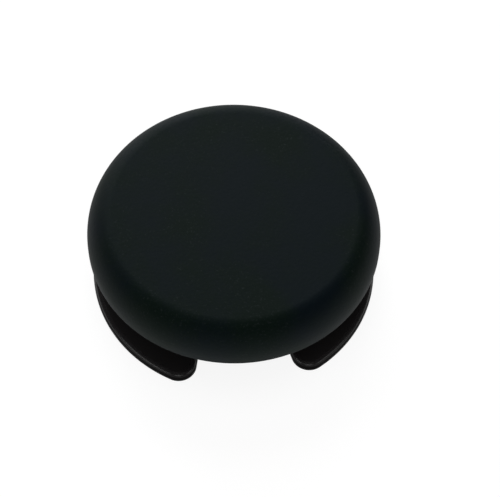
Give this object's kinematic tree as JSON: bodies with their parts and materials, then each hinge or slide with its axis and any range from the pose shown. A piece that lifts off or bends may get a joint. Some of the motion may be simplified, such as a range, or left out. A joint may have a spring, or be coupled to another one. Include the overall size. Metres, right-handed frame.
{
  "type": "thumbstick cap",
  "caption": "Round thumb cap for a console's slide pad: a flat disc with a rounded shoulder on a short neck, over a thin two-winged flange with a press-on socket.",
  "frame": {"origin": "on the cap's axis, in the plane of the flange's underside, which is also the centre of the base of its box", "axes": "+Z along the cap's axis, from the flange up through the thumb disc; the two wings lie along +X and -X, and the two notches face +Y and -Y"},
  "size_m": [0.018, 0.018, 0.0066],
  "materials": {
    "black_plastic": "black moulded plastic: the thumb disc has a fine matte grain, and the neck, the flange and the underside are smoother and a little glossier"
  },
  "bodies": {
    "root": {"thumbstick_cap": "black_plastic"}
  },
  "joints": []
}
